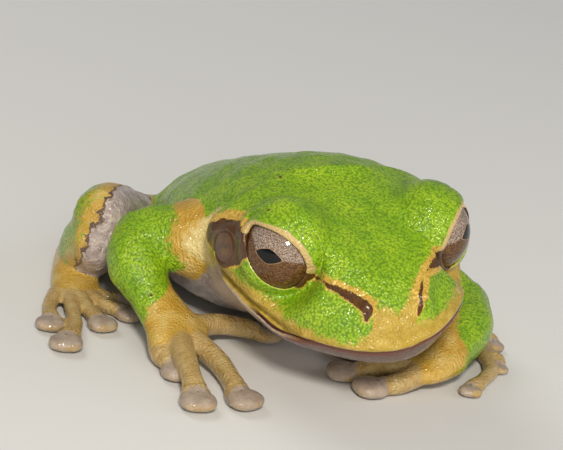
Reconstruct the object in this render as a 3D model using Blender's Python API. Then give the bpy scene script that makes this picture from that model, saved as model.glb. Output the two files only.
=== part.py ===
# Tree frog at rest: body, head, lids, arms, legs and round toe pads as closed solids.
# Sizes are in millimetres until the last step, which turns the whole animal into metres.
# Snout toward -Y, the frog's own left toward +X, up is +Z, the floor is the plane z = 0.
import math

import bmesh
import bpy
import numpy as np
from mathutils import Matrix, Vector

# Driving dimensions, mm
GAP = 0.3
SNOUT_TIP = (-2.5, 0.0, 9.0)
HEAD_YAW, HEAD_PITCH, HEAD_ROLL = -3.9, 13.5, -6.5
JAW_HALF_WIDTH, JAW_LENGTH = 12.9, 19.5
HEAD_REAR = 23.0
EYE_RADIUS = 4.4
EYE_CENTRE = (8.4, 13.9, 4.95)
EYE_AXIS = (0.71, -0.67, 0.23)
LID_REACH = (3.15, 3.95, 3.2, 2.8, 2.8, 3.15, 3.58, 3.7, 3.65, 3.05, 2.65, 2.75)
LID_SHELL = 0.9
LIP_RISE, LIP_TILT, LIP_EDGE = 1.45, 0.10, 0.2
JAW_BACK = 0.7
NOSTRIL = (3.0, 2.2, 4.5)
NOSTRIL_RADIUS = 0.5
NOSTRIL_SHAPE = (1.0, 1.5, 1.0)
SNOUT_LEAN = -0.65
EAR = (13.15, 18.0, 3.0)
EAR_RADIUS = 1.85
EAR_AXIS = (0.9, -0.2, 0.28)
EAR_FLATNESS = 0.3
JOWL = 1.2
JOWL_PLACE = (21.0, 2.2)
JOWL_REACH = (3.4, 2.8)
CHEEK_PLACE = (7.5, 0.72)
CHEEK_REACH = (4.2, 0.2)
CHEEK_INSET = 0.055
CHEEK_DROP = 0.55
EYE_RISE = 0.35
EYE_RISE_PLACE = (13.5, 0.42)
EYE_RISE_REACH = (5.0, 0.16)
CROWN_HOLLOW = 0.5
LIP_SWELL = 0.28
UPPER_SHARE = 0.72
LOWER_SHARE = 0.66
LOWER_JAW_INSET = 0.25
LOWER_JAW_LAG = 0.45
BODY_START = (-2.0, 15.0)
BODY_YAW = -11.5
PAD_WIDTH, PAD_THICK = 2.05, 0.95
FINGER_WIDTH = 1.05
FLAT_DEPTH = 0.12

SLOTS = {
    "green_skin": ((0.30, 0.52, 0.02), 0.38),
    "tan_skin": ((0.50, 0.34, 0.14), 0.42),
    "grey_pad": ((0.36, 0.29, 0.23), 0.36),
    "pale_throat": ((0.55, 0.49, 0.40), 0.45),
    "eye_bronze": ((0.10, 0.05, 0.025), 0.08),
    "ear_brown": ((0.07, 0.028, 0.012), 0.22),
}


def clear_scene():
    for thing in list(bpy.data.objects):
        bpy.data.objects.remove(thing, do_unlink=True)


def collection(name):
    made = bpy.data.collections.new(name)
    bpy.context.scene.collection.children.link(made)
    return made


def material(name):
    colour, roughness = SLOTS[name]
    made = bpy.data.materials.new(name)
    made.use_nodes = True
    shader = made.node_tree.nodes["Principled BSDF"]
    shader.inputs["Base Color"].default_value = (*colour, 1.0)
    shader.inputs["Roughness"].default_value = roughness
    shader.inputs["Metallic"].default_value = 0.0
    return made


# Smooth values between stations
def between(stations, values, at):
    """Catmull-Rom interpolation of rows of values at the given station numbers."""
    stations = np.asarray(stations, float)
    values = np.asarray(values, float)
    at = np.asarray(at, float)
    flat = values.reshape(len(stations), -1)
    slope = np.gradient(flat, stations, axis=0)
    k = np.clip(np.searchsorted(stations, at, side="right") - 1, 0, len(stations) - 2)
    step = (stations[k + 1] - stations[k])[:, None]
    t = ((at - stations[k]) / step[:, 0])[:, None]
    a = (1 + 2 * t) * (1 - t) ** 2 * flat[k] + t * (1 - t) ** 2 * step * slope[k]
    b = t * t * (3 - 2 * t) * flat[k + 1] + t * t * (t - 1) * step * slope[k + 1]
    return (a + b).reshape((len(at),) + values.shape[1:])


def power(value, exponent):
    return np.sign(value) * np.abs(value) ** exponent


def bump(distance, width):
    return np.exp(-((distance / width) ** 2))


def ease(low, high, value):
    """0 to 1 from low to high, with soft ends."""
    t = np.clip((value - low) / (high - low), 0, 1)
    return t * t * (3 - 2 * t)


# Meshes
def mesh_object(name, corners, faces, slot=None, into=None):
    mesh = bpy.data.meshes.new(name)
    mesh.from_pydata([tuple(map(float, p)) for p in corners], [], faces)
    mesh.validate()
    made = bpy.data.objects.new(name, mesh)
    (into or PARTS).objects.link(made)
    if slot:
        mesh.materials.append(MATERIALS[slot])
    bm = bmesh.new()
    bm.from_mesh(mesh)
    bmesh.ops.remove_doubles(bm, verts=bm.verts, dist=0.01)
    bmesh.ops.recalc_face_normals(bm, faces=bm.faces)
    bm.to_mesh(mesh)
    bm.free()
    return made


def from_rings(name, rings, slot=None, into=None):
    """Closed solid through rings of equal length, each end closed on its centre."""
    count = len(rings[0])
    corners = [p for ring in rings for p in ring]
    faces = []
    for i in range(len(rings) - 1):
        for j in range(count):
            k = (j + 1) % count
            faces.append((i * count + j, i * count + k, (i + 1) * count + k, (i + 1) * count + j))
    for i in (0, len(rings) - 1):
        corners.append(np.mean(rings[i], axis=0))
        middle = len(corners) - 1
        for j in range(count):
            faces.append((i * count + j, i * count + (j + 1) % count, middle))
    return mesh_object(name, corners, faces, slot, into)


def limb(names, path, widths, heights, slots, around=10, steps=12, breaks=(), into=None):
    """Loft along a path with its own half width and half height at each point, rounded at both ends.

    With breaks, given as fractions of the path, the loft is parted there into several solids
    whose flat faces stand a gap apart.
    """
    path = np.asarray(path, float)
    along = np.concatenate([[0], np.cumsum(np.linalg.norm(np.diff(path, axis=0), axis=1))])
    fine = np.linspace(0, along[-1], 200)
    line = between(along, path, fine)
    heading = np.gradient(line, fine, axis=0)
    heading /= np.linalg.norm(heading, axis=1)[:, None]
    angle = np.arange(around) * 2 * math.pi / around

    def ring(at, offset=0.0, scale=1.0):
        centre = between(along, path, [at])[0]
        wide = between(along, widths, [at])[0]
        high = between(along, heights, [at])[0]
        tangent = np.array([np.interp(at, fine, heading[:, i]) for i in range(3)])
        side = np.cross(tangent, (0, 0, 1))
        side /= np.linalg.norm(side)
        upward = np.cross(side, tangent)
        centre = centre + tangent * offset * min(wide, high)
        sideways = wide * np.cos(angle)[:, None] * side
        upright = high * np.sin(angle)[:, None] * upward
        return centre + scale * (sideways + upright)

    borders = [0.0] + [b * along[-1] for b in breaks] + [along[-1]]
    made = []
    for k, name in enumerate(names):
        first = borders[k] + (GAP / 2 if k else 0.0)
        last = borders[k + 1] - (GAP / 2 if k < len(names) - 1 else 0.0)
        count = max(3, round(steps * (last - first) / along[-1]))
        rings = [ring(at) for at in np.linspace(first, last, count)]
        turns = [math.radians(t) for t in (30, 62)]
        if k == 0:
            rings = [ring(0.0, -math.sin(t), math.cos(t)) for t in reversed(turns)] + rings
        if k == len(names) - 1:
            rings += [ring(along[-1], math.sin(t), math.cos(t)) for t in turns]
        made.append(from_rings(name, rings, slots[k], into))
    return made


def ball(name, radius, place, squash=(1, 1, 1), axis=None, turn=0.0, slot=None, into=None, rings=12):
    mesh = bpy.data.meshes.new(name)
    bm = bmesh.new()
    bmesh.ops.create_uvsphere(bm, u_segments=2 * rings - 4, v_segments=rings, radius=radius)
    bmesh.ops.scale(bm, vec=squash, verts=bm.verts)
    frame = Matrix.Identity(4)
    if axis is not None:
        frame = Vector(axis).to_track_quat("Z", "Y").to_matrix().to_4x4() @ Matrix.Rotation(turn, 4, "Z")
    bmesh.ops.transform(bm, matrix=Matrix.Translation(place) @ frame, verts=bm.verts)
    bm.to_mesh(mesh)
    bm.free()
    made = bpy.data.objects.new(name, mesh)
    (into or PARTS).objects.link(made)
    if slot:
        mesh.materials.append(MATERIALS[slot])
    return made


def grown(thing, by=GAP):
    """A cutter: the same solid, larger by the gap."""
    mesh = thing.data.copy()
    made = bpy.data.objects.new(thing.name + "_cutter", mesh)
    CUTTERS.objects.link(made)
    made.matrix_world = thing.matrix_world
    bm = bmesh.new()
    bm.from_mesh(mesh)
    bm.normal_update()
    moves = [(v, v.normal.copy()) for v in bm.verts]
    for v, n in moves:
        v.co += n * by
    bm.to_mesh(mesh)
    bm.free()
    return made


def largest_piece(bm):
    left = set(bm.verts)
    best = set()
    while left:
        seed = left.pop()
        island = {seed}
        queue = [seed]
        while queue:
            for edge in queue.pop().link_edges:
                for v in edge.verts:
                    if v in left:
                        left.remove(v)
                        island.add(v)
                        queue.append(v)
        if len(island) > len(best):
            best = island
    bmesh.ops.delete(bm, geom=[v for v in bm.verts if v not in best], context="VERTS")


def settle(thing, mesh):
    """Clean mesh after a cut: one closed surface, no slivers."""
    bm = bmesh.new()
    bm.from_mesh(mesh)
    bmesh.ops.remove_doubles(bm, verts=bm.verts, dist=0.02)
    bmesh.ops.dissolve_degenerate(bm, edges=bm.edges, dist=0.02)
    largest_piece(bm)
    bmesh.ops.triangulate(bm, faces=bm.faces)
    bmesh.ops.recalc_face_normals(bm, faces=bm.faces)
    bm.to_mesh(thing.data)
    bm.free()


def carve(thing, cutter, operation="DIFFERENCE"):
    modifier = thing.modifiers.new("carve", "BOOLEAN")
    modifier.operation = operation
    modifier.object = cutter
    modifier.solver = "EXACT"
    graph = bpy.context.evaluated_depsgraph_get()
    result = bpy.data.meshes.new_from_object(thing.evaluated_get(graph))
    thing.modifiers.remove(modifier)
    settle(thing, result)
    bpy.data.meshes.remove(result)
    if not thing.data.polygons:
        raise ValueError(f"{thing.name} has nothing left after {cutter.name}")


# Head, in its own frame: snout tip at the origin, mouth in the plane z = 0, rear toward +Y
def jaw_width(y):
    """Half width of the mouth seen from above."""
    turn = np.arccos(np.clip(1 - np.asarray(y, float) / JAW_LENGTH, 0, 1))
    return JAW_HALF_WIDTH * np.sin(turn) ** 1.1


def crown(y):
    """Height of the head along its middle line."""
    return 3.3 * (1 - np.exp(-y / 0.8)) + 5.8 * (1 - np.exp(-y / 7.5)) - 0.5 * max(0.0, (y - 16) / 7) ** 2


def throat(y):
    return 1.3 * (1 - np.exp(-y / 0.7)) + 3.9 * (1 - np.exp(-y / 9.0))


def lip_height(x, y):
    """Height of the mouth line: high across the snout, sinking toward the corners of the mouth."""
    level = -0.55 - 0.065 * np.clip(y, 0.0, 11.5)
    return level + LIP_RISE * ease(10.0, 4.0, y) + LIP_TILT * x * ease(12.0, 6.0, y)


def upper_rings(count=26, around=34):
    """Sections of the upper head, each a closed loop over the crown and back along the palate."""
    rings = []
    for k in range(count):
        y = HEAD_REAR * (0.004 + 0.996 * (k / (count - 1)) ** 1.45)
        wide = float(jaw_width(y))
        over = int(around * UPPER_SHARE)
        turn = np.linspace(-math.pi / 2, math.pi / 2, over)
        x = wide * power(np.sin(turn), 0.86)
        square = 0.84 - 0.32 * float(bump(y - 12.5, 6.5))
        base = np.maximum(0.0, lip_height(x, y))
        high = max(float(crown(y)), float(lip_height(0.0, y)) + LIP_EDGE)
        z = base + np.maximum(high - base, 0.0) * np.abs(np.cos(turn)) ** square
        side = np.abs(x) / max(wide, 0.1)
        cheek = bump(y - CHEEK_PLACE[0], CHEEK_REACH[0]) * bump(side - CHEEK_PLACE[1], CHEEK_REACH[1])
        eye_rise = bump(y - EYE_RISE_PLACE[0], EYE_RISE_REACH[0])
        eye_rise = eye_rise * bump(side - EYE_RISE_PLACE[1], EYE_RISE_REACH[1])
        x = x * (1 - CHEEK_INSET * cheek)
        z = z - CHEEK_DROP * cheek + EYE_RISE * eye_rise
        z = z - CROWN_HOLLOW * bump(y - 13.0, 6.0) * bump(side, 0.25)
        lip = LIP_SWELL * bump(z - base - 0.7, 0.7) * min(1.0, wide / 3)
        jowl = bump(y - JOWL_PLACE[0], JOWL_REACH[0]) * bump(z - JOWL_PLACE[1], JOWL_REACH[1])
        x = x + np.sign(x) * (lip + JOWL * jowl)
        loop = np.stack([x, np.full_like(x, y), z], 1)
        across = np.linspace(1, -1, around - over + 2)[1:-1] * (wide - 0.1)
        under = np.stack([across, np.full_like(across, y), lip_height(across, y)], 1)
        rings.append(np.concatenate([loop, under]))
    return rings


def lower_rings(count=16, around=24):
    """Sections of the lower jaw, each a closed loop under the throat and back along its flat top."""
    rings = []
    for k in range(count):
        y = JAW_BACK + (HEAD_REAR - 0.5 - JAW_BACK) * (0.004 + 0.996 * (k / (count - 1)) ** 1.4)
        wide = max(0.2, float(jaw_width(max(y - LOWER_JAW_LAG, 0.0))) - LOWER_JAW_INSET)
        under = int(around * LOWER_SHARE)
        turn = np.linspace(math.pi / 2, -math.pi / 2, under)
        x = wide * power(np.sin(turn), 0.9)
        top_edge = lip_height(x, y) - GAP
        deep = np.maximum(float(throat(y - 0.4)) + GAP + top_edge, 0.3)
        z = top_edge - deep * np.abs(np.cos(turn)) ** 0.75
        loop = np.stack([x, np.full_like(x, y), z], 1)
        across = np.linspace(-1, 1, around - under + 2)[1:-1] * (wide - 0.15)
        top = np.stack([across, np.full_like(across, y), lip_height(across, y) - GAP], 1)
        rings.append(np.concatenate([loop, top]))
    return rings


def around_the_eye(count):
    """Half widths of the lid opening, from the rear corner up over the eye and back below it."""
    ring = LID_REACH[-3:] + LID_REACH + LID_REACH[:3]
    at = np.arange(count) * len(LID_REACH) / count
    return between(np.arange(-3, len(LID_REACH) + 3), ring, at)


def head_frame():
    turn = Matrix.Rotation(math.radians(HEAD_YAW), 4, "Z")
    turn = turn @ Matrix.Rotation(math.radians(HEAD_PITCH), 4, "X")
    turn = turn @ Matrix.Rotation(math.radians(HEAD_ROLL), 4, "Y")
    return Matrix.Translation(SNOUT_TIP) @ turn


def build_head():
    head = from_rings("head", upper_rings(), "green_skin")
    jaw = from_rings("lower_jaw", lower_rings(), "pale_throat")
    pieces = [head, jaw]
    for side, tag in ((1, "l"), (-1, "r")):
        centre = Vector((side * EYE_CENTRE[0], EYE_CENTRE[1], EYE_CENTRE[2]))
        axis = Vector((side * EYE_AXIS[0], EYE_AXIS[1], EYE_AXIS[2])).normalized()
        mound = ball("mound", EYE_RADIUS + LID_SHELL, centre - axis * 0.4, into=CUTTERS)
        carve(head, mound, "UNION")
    for side, tag in ((1, "l"), (-1, "r")):
        centre = Vector((side * EYE_CENTRE[0], EYE_CENTRE[1], EYE_CENTRE[2]))
        axis = Vector((side * EYE_AXIS[0], EYE_AXIS[1], EYE_AXIS[2])).normalized()
        rearward = axis.cross(Vector((0, 0, -side))).normalized()
        upward = axis.cross(rearward) * side
        reach = around_the_eye(24)
        socket = ball("socket", EYE_RADIUS + GAP, centre, into=CUTTERS)
        rings = []
        for depth in (2.0, 3.2, 4.6, 5.8):
            spread = 1 + 0.04 * (depth - 4.0)
            loop = []
            for k in range(24):
                a = k * math.tau / 24
                direction = rearward * math.cos(a) + upward * math.sin(a)
                loop.append(centre + axis * depth + direction * reach[k] * spread)
            rings.append(np.array([tuple(p) for p in loop]))
        opening = from_rings("opening", rings, into=CUTTERS)
        carve(socket, opening, "UNION")
        carve(head, socket)
        eye = ball(f"eye_{tag}", EYE_RADIUS, centre, axis=axis, slot="eye_bronze")
        place = Vector((side * EAR[0], EAR[1], EAR[2]))
        facing = Vector((side * EAR_AXIS[0], EAR_AXIS[1], EAR_AXIS[2]))
        flat = (1.0, 1.0, EAR_FLATNESS)
        drum = ball(f"tympanum_{tag}", EAR_RADIUS, place, flat, facing, slot="ear_brown", rings=9)
        carve(head, grown(drum))
        place = Vector((side * NOSTRIL[0] + SNOUT_LEAN, NOSTRIL[1], NOSTRIL[2]))
        nostril = ball("nostril", NOSTRIL_RADIUS, place, NOSTRIL_SHAPE, into=CUTTERS, rings=7)
        carve(head, nostril)
        pieces += [eye, drum]
    frame = head_frame()
    for piece in pieces:
        piece.data.transform(frame)
    return pieces


# Body: half width, underside and back at stations along it
BODY_STATIONS = (4, 9, 14, 20, 26, 32, 37, 41, 44, 46)
BODY_HALF_WIDTH = (11.2, 13.1, 14.6, 15.3, 14.8, 13.3, 11.1, 8.5, 5.7, 1.9)
BODY_UNDERSIDE = (5.4, 3.2, 1.5, 0.5, 0.0, -0.1, -0.1, 0.3, 1.1, 2.4)
BODY_BACK = (23.0, 22.6, 21.1, 18.9, 16.5, 14.2, 11.7, 9.1, 6.6, 4.4)


def build_body(count=18, around=26):
    yaw = math.radians(BODY_YAW)
    forward = np.array([-math.sin(yaw), math.cos(yaw)])
    across = np.array([math.cos(yaw), math.sin(yaw)])
    at = np.linspace(BODY_STATIONS[0], BODY_STATIONS[-1], count)
    wide = between(BODY_STATIONS, BODY_HALF_WIDTH, at)
    low = between(BODY_STATIONS, BODY_UNDERSIDE, at)
    high = between(BODY_STATIONS, BODY_BACK, at)
    rings = []
    for s, w, b, t in zip(at, wide, low, high):
        middle = b + 0.42 * (t - b)
        turn = np.arange(around) * 2 * math.pi / around
        x = w * power(np.cos(turn), 0.9)
        up = np.sin(turn)
        z = middle + np.where(up > 0, (t - middle) * power(up, 0.9), (middle - b) * power(up, 0.7))
        ground = np.array(BODY_START)[None, :] + forward * s + across * x[:, None]
        rings.append(np.column_stack([ground, z]))
    return from_rings("torso", rings, "green_skin")


# Limbs, each a path from the body outward
def pad_finger(name, path, slot="tan_skin", width=FINGER_WIDTH, pad=1.0, steps=9):
    """A finger or toe: slim, with a flat round pad at its end."""
    path = [np.array(p, float) for p in path]
    reach = path[-1] - path[-2]
    length = np.linalg.norm(reach)
    reach /= length
    radius = PAD_WIDTH * pad
    neck = min(radius * 1.25, 0.65 * length)
    tip = path[-1]
    points = path[:-1] + [tip - reach * neck, tip - reach * neck * 0.48, tip, tip + reach * radius * 0.55]
    thick = PAD_THICK * pad
    widths = [width * 1.15] + [width] * (len(path) - 2) + [width * 1.05, radius * 0.72, radius, radius * 0.8]
    heights = [width * 1.05] + [width * 0.95] * (len(path) - 2)
    heights += [width * 0.9, thick * 0.95, thick, thick * 0.85]
    return limb([name], points, widths, heights, [slot], around=8, steps=steps)[0]


ARMS = {
    "r": {
        "upper": (
            [(-7.0, 26.5, 11.0), (-12.2, 29.6, 11.0), (-16.0, 33.8, 10.2)],
            [3.6, 3.6, 3.0],
            [4.6, 4.3, 3.2],
        ),
        "lower": (
            [
                (-17.4, 34.2, 9.9), (-18.8, 31.6, 8.2), (-18.4, 28.2, 5.7), (-17.5, 25.2, 3.9),
                (-16.9, 22.2, 2.6),
            ],
            [2.9, 3.2, 2.5, 3.0, 3.7],
            [2.9, 3.1, 2.1, 1.7, 1.3],
        ),
        "wrist": 0.56,
    },
    "l": {
        "upper": (
            [(8.5, 24.5, 8.5), (13.5, 24.0, 7.4), (17.4, 21.4, 5.8)],
            [3.4, 3.3, 2.8],
            [4.0, 3.6, 2.9],
        ),
        "lower": (
            [(17.8, 19.6, 5.4), (15.4, 15.0, 4.3), (11.8, 11.8, 3.4), (9.4, 10.3, 2.7), (7.2, 10.4, 2.1)],
            [2.8, 2.9, 2.3, 2.6, 2.8],
            [2.8, 2.7, 2.0, 1.5, 1.2],
        ),
        "wrist": 0.68,
    },
}

FINGERS = {
    "finger_r1": [(-14.6, 24.2, 2.9), (-9.6, 25.6, 2.2), (-4.9, 24.9, 1.3)],
    "finger_r2": [(-15.6, 21.6, 2.5), (-14.6, 17.2, 1.7), (-15.3, 9.3, 0.85)],
    "finger_r3": [(-17.6, 21.0, 2.6), (-18.8, 16.6, 2.5), (-20.4, 9.8, 0.95)],
    "finger_r4": [(-18.9, 23.2, 2.0), (-19.8, 20.4, 1.4), (-19.2, 17.4, 0.85)],
    "finger_l1": [(8.8, 12.0, 2.2), (9.0, 15.0, 1.5), (8.4, 18.8, 0.85)],
    "finger_l2": [(6.8, 12.2, 2.0), (5.6, 15.0, 1.5), (3.6, 18.6, 0.85)],
    "finger_l3": [(5.4, 11.0, 2.0), (3.0, 13.0, 1.5), (-0.5, 13.8, 0.85)],
    "finger_l4": [(5.8, 9.3, 1.9), (3.4, 8.9, 1.3), (0.3, 9.3, 0.85)],
}

LEGS = {
    "r": {
        "thigh": (
            [
                (-1.0, 51.0, 4.6), (-8.0, 50.0, 4.6), (-13.2, 47.4, 6.6), (-16.4, 44.5, 8.7),
                (-18.5, 41.9, 9.5),
            ],
            [3.6, 3.8, 3.8, 3.7, 3.4],
            [3.6, 3.6, 3.8, 3.7, 3.4],
        ),
        "shank": (
            [(-19.4, 40.8, 7.0), (-18.4, 44.6, 4.8), (-15.4, 50.2, 3.4), (-11.0, 55.0, 3.0)],
            [3.0, 3.5, 3.0, 2.2],
            [3.4, 3.4, 2.8, 2.2],
        ),
        "foot": (
            [(-12.0, 56.2, 1.9), (-16.6, 52.4, 1.8), (-19.8, 46.2, 1.7), (-21.8, 39.6, 1.2)],
            [1.7, 1.8, 2.1, 3.0],
            [1.5, 1.6, 1.4, 0.95],
        ),
        "toes": [
            [(-19.9, 39.2, 1.2), (-19.3, 38.3, 1.1), (-16.6, 37.0, 0.8)],
            [(-20.8, 38.5, 1.2), (-20.0, 35.8, 1.0), (-18.0, 33.5, 0.8)],
            [(-22.0, 38.5, 1.2), (-22.4, 34.6, 1.0), (-22.2, 31.2, 0.8)],
            [(-23.1, 39.0, 1.2), (-24.7, 33.6, 1.0), (-26.2, 29.6, 0.9), (-28.2, 27.0, 0.8)],
            [(-24.3, 39.9, 1.2), (-26.4, 36.6, 1.0), (-27.9, 32.4, 0.8)],
        ],
    },
    "l": {
        "thigh": (
            [(9.0, 51.0, 5.0), (13.4, 45.4, 5.8), (17.0, 38.0, 6.6), (18.8, 33.0, 6.8)],
            [4.4, 4.5, 4.0, 3.2],
            [4.4, 4.5, 4.0, 3.2],
        ),
        "shank": (
            [(19.2, 32.0, 4.9), (20.2, 36.6, 4.6), (20.6, 44.0, 4.2), (19.4, 52.4, 3.2)],
            [2.9, 3.2, 2.9, 2.2],
            [3.1, 3.3, 2.9, 2.2],
        ),
        "foot": (
            [(20.2, 53.4, 1.9), (22.4, 45.4, 1.8), (22.2, 35.4, 1.6), (20.4, 27.2, 1.2)],
            [1.7, 1.8, 2.0, 3.2],
            [1.5, 1.5, 1.4, 0.95],
        ),
        "toes": [
            [(17.9, 28.0, 1.2), (17.0, 25.8, 1.0), (15.4, 23.6, 0.8)],
            [(19.2, 27.0, 1.2), (18.2, 22.8, 1.0), (16.0, 18.4, 0.8)],
            [(20.5, 26.6, 1.2), (19.2, 19.0, 1.0), (16.6, 10.4, 0.9), (12.3, 7.2, 0.8)],
            [(21.8, 26.3, 1.2), (21.0, 19.8, 1.0), (18.4, 12.9, 0.8)],
            [(23.1, 26.4, 1.2), (22.8, 22.8, 1.0), (21.4, 18.4, 0.8)],
        ],
    },
}


def box(thing):
    points = np.array([v.co for v in thing.data.vertices])
    return points.min(axis=0), points.max(axis=0)


def keep_clear(thing, others):
    """Cut the thing back where it would meet or touch the solids already in place."""
    for other in others:
        low, high = box(thing)
        low_other, high_other = box(other)
        if np.all(low < high_other + GAP) and np.all(low_other < high + GAP):
            cutter = grown(other)
            carve(thing, cutter)
            bpy.data.objects.remove(cutter, do_unlink=True)


def build():
    pieces = build_head()
    limbs = [build_body()]
    for tag, arm in ARMS.items():
        limbs += limb([f"upper_arm_{tag}"], *arm["upper"], ["green_skin"], 12, 8)
        names = [f"forearm_{tag}", f"hand_{tag}"]
        limbs += limb(names, *arm["lower"], ["green_skin", "tan_skin"], 12, 14, [arm["wrist"]])
    for name, path in FINGERS.items():
        limbs.append(pad_finger(name, path))
    for tag, leg in LEGS.items():
        limbs += limb([f"thigh_{tag}"], *leg["thigh"], ["green_skin"], 14, 10)
        limbs += limb([f"shank_{tag}"], *leg["shank"], ["green_skin"], 12, 10)
        limbs += limb([f"foot_{tag}"], *leg["foot"], ["tan_skin"], 10, 10)
        for k, path in enumerate(leg["toes"]):
            pad = 0.98 if k == 3 else 0.82
            limbs.append(pad_finger(f"toe_{tag}{k + 1}", path, "grey_pad", width=0.66, pad=pad, steps=8))
    for k, piece in enumerate(limbs):
        keep_clear(piece, pieces[:2] + limbs[:k])
    return pieces + limbs


def flatten_and_centre(pieces):
    """Small flats on the floor, then the origin under the middle of the animal, in metres."""
    low = np.array([1e9] * 3)
    high = -low
    for piece in pieces:
        for v in piece.data.vertices:
            if v.co.z < FLAT_DEPTH:
                v.co.z = FLAT_DEPTH
            low = np.minimum(low, v.co)
            high = np.maximum(high, v.co)
    shift = Vector((-(low[0] + high[0]) / 2, -(low[1] + high[1]) / 2, -low[2]))
    print("size, mm:", tuple(round(float(v), 2) for v in high - low))
    for piece in pieces:
        piece.data.transform(Matrix.Scale(0.001, 4) @ Matrix.Translation(shift))
        for face in piece.data.polygons:
            face.use_smooth = True
    return shift


clear_scene()
PARTS = collection("tree_frog")
CUTTERS = collection("cutters")
MATERIALS = {name: material(name) for name in SLOTS}
ALL = build()
SHIFT = flatten_and_centre(ALL)
for cutter in list(CUTTERS.objects):
    bpy.data.objects.remove(cutter, do_unlink=True)
print("pieces", len(ALL))
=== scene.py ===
# %% [markdown]
# # A tree frog at rest, life size
#
# The solids in the frame give every body part its place. This lesson wraps them in one moist,
# granular skin, adds the eyes and the eardrums as pieces of their own, and lights the animal
# softly on a pale floor.

# %% Tools and the frame
import math

import bmesh
import bpy
import numpy as np
from mathutils import Matrix, Vector
from mathutils.bvhtree import BVHTree


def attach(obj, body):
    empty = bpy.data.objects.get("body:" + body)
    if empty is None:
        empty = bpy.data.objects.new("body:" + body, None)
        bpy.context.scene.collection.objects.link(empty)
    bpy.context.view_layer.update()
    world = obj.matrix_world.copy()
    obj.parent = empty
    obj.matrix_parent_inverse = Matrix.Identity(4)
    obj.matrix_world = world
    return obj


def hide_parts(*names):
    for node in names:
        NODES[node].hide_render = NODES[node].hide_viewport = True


MM = 0.001
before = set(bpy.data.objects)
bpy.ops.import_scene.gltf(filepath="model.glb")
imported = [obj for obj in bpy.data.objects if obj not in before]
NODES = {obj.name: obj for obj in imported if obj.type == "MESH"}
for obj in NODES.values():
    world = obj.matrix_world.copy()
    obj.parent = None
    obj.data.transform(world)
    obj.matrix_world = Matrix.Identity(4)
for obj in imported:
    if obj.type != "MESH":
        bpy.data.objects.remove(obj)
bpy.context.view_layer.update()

# %% [markdown]
# ## Where the head is
#
# A head is easier to shape when its own mouth is level and its snout points straight ahead. The
# two eyeballs of the frame are known exactly, so they fix the place of the head's own axes: x to
# the frog's left, y from the snout to the nape, z up from the mouth.

# %% The head's own axes
HEAD_YAW, HEAD_PITCH, HEAD_ROLL = -3.9, 13.5, -6.5
EYE_CENTRE = np.array([8.4, 13.9, 4.95])
EYE_RADIUS = 4.4
EYE_AXIS = np.array([0.71, -0.67, 0.23]) / np.linalg.norm([0.71, -0.67, 0.23])


def new_object(name, data):
    thing = bpy.data.objects.new(name, data)
    bpy.context.scene.collection.objects.link(thing)
    return thing


def turn_matrix(degrees, axis):
    return np.array(Matrix.Rotation(math.radians(degrees), 3, axis))


def corners(thing):
    """All the vertices of a mesh as an array, in millimetres."""
    flat = np.empty(len(thing.data.vertices) * 3)
    thing.data.vertices.foreach_get("co", flat)
    return flat.reshape(-1, 3) / MM


HEAD = turn_matrix(HEAD_YAW, "Z") @ turn_matrix(HEAD_PITCH, "X") @ turn_matrix(HEAD_ROLL, "Y")
EYE_L = corners(NODES["eye_l"]).mean(axis=0)
SNOUT = EYE_L - HEAD @ EYE_CENTRE
print("snout tip, mm", SNOUT.round(2))


def to_head(points):
    return (points - SNOUT) @ HEAD


def from_head(points):
    return points @ HEAD.T + SNOUT


# %% [markdown]
# ## One skin over all the parts
#
# Real skin runs on over every joint, so the parts must not show as pieces. Each solid is grown a
# little, so that neighbours merge, and a voxel remesh turns the pile into one surface of small
# even faces. The eyeballs are put in too: they hold the lids' shape until the eyes are opened.
#
# The two sizes below have to suit each other. With other pairs, finer voxels among them, the
# surface falls into many pieces, so the share that the largest one holds is checked.

# %% Grow the solids and join them
# How far each solid grows and how wide the new faces are, mm
GROW = 0.24
VOXEL = 0.25
LEAST_SHARE = 0.99
DRUMS = ("tympanum_l", "tympanum_r")
EYES = ("eye_l", "eye_r")


def grown_solids():
    together = bmesh.new()
    for name in sorted(NODES):
        part = bmesh.new()
        part.from_mesh(NODES[name].data)
        part.normal_update()
        moves = [(v, v.normal * (GROW * MM)) for v in part.verts]
        for v, move in moves:
            v.co += move
        loose = bpy.data.meshes.new("part")
        part.to_mesh(loose)
        part.free()
        together.from_mesh(loose)
        bpy.data.meshes.remove(loose)
    mesh = bpy.data.meshes.new("skin")
    together.to_mesh(mesh)
    together.free()
    return mesh


def remeshed(mesh, size):
    thing = new_object("skin", mesh)
    modifier = thing.modifiers.new("even faces", "REMESH")
    modifier.mode = "VOXEL"
    modifier.voxel_size = size * MM
    graph = bpy.context.evaluated_depsgraph_get()
    result = bpy.data.meshes.new_from_object(thing.evaluated_get(graph))
    thing.modifiers.clear()
    thing.data = result
    return thing


def keep_largest(thing):
    """Delete all but the largest connected piece; returns the share of the vertices it holds."""
    bm = bmesh.new()
    bm.from_mesh(thing.data)
    left = set(bm.verts)
    best = set()
    while left:
        seed = left.pop()
        island = {seed}
        queue = [seed]
        while queue:
            for edge in queue.pop().link_edges:
                for v in edge.verts:
                    if v in left:
                        left.remove(v)
                        island.add(v)
                        queue.append(v)
        if len(island) > len(best):
            best = island
    share = len(best) / len(bm.verts)
    bmesh.ops.delete(bm, geom=[v for v in bm.verts if v not in best], context="VERTS")
    bm.to_mesh(thing.data)
    bm.free()
    return share


SKIN = remeshed(grown_solids(), VOXEL)
SHARE = keep_largest(SKIN)
print("skin", len(SKIN.data.vertices), "vertices; share of the largest piece", round(SHARE, 4))
if SHARE < LEAST_SHARE:
    raise RuntimeError("the skin fell apart: choose another voxel size")

# %% [markdown]
# Small forms need small faces. Around the eyes, the mouth line, the nostrils and the eardrums the
# faces are split once more, so that a lid margin or a lip groove stays crisp.

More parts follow.
